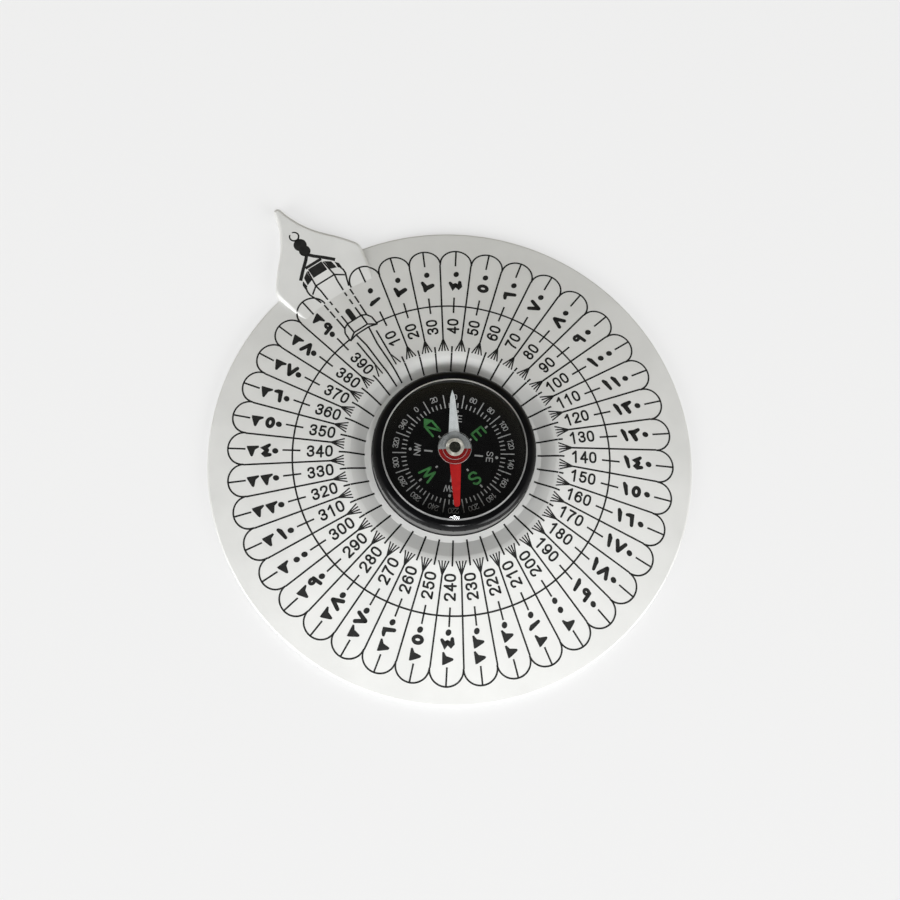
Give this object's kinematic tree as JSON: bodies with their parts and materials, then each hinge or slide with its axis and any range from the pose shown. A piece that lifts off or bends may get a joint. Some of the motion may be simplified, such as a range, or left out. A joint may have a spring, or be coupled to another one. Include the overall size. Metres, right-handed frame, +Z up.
{
  "type": "qibla compass",
  "caption": "Flat sloping disc with an ogee pointer on its rim and a raised glass-topped compass capsule in the middle, whose needle turns freely on a pivot.",
  "frame": {"origin": "the disc's axis on the resting plane, in the flat underside of the capsule's well", "axes": "+Z up along the disc's axis, +Y along the ogee pointer, +X to the right of the pointer seen from above"},
  "size_m": [0.118, 0.1374, 0.0157],
  "materials": {
    "silver_paint": "satin silver paint on moulded plastic",
    "foam_tape": "matt white foam tape",
    "black_plastic": "glossy black plastic",
    "black_bezel": "glossy black plastic",
    "clear_lens": "polished clear acrylic",
    "dial_black": "matt black card",
    "pin_steel": "turned steel",
    "needle_steel": "painted spring steel, half white and half red",
    "clear_hub": "clear plastic",
    "cup_brass": "bright turned brass",
    "jewel_dark": "polished dark glass"
  },
  "bodies": {
    "housing": {"scale_disc": "silver_paint", "mounting_tape": "foam_tape", "capsule_case": "black_plastic", "bezel_ring": "black_bezel", "lens": "clear_lens", "dial_card": "dial_black", "pivot_pin": "pin_steel"},
    "needle": {"needle_blade": "needle_steel", "needle_hub": "clear_hub", "bearing_cup": "cup_brass", "jewel": "jewel_dark"}
  },
  "joints": [
    {"name": "needle_spin", "type": "hinge", "parent": "housing", "child": "needle", "pos_m": [0, 0, 0.0125], "axis": [0, 0, 1], "continuous": true}
  ]
}
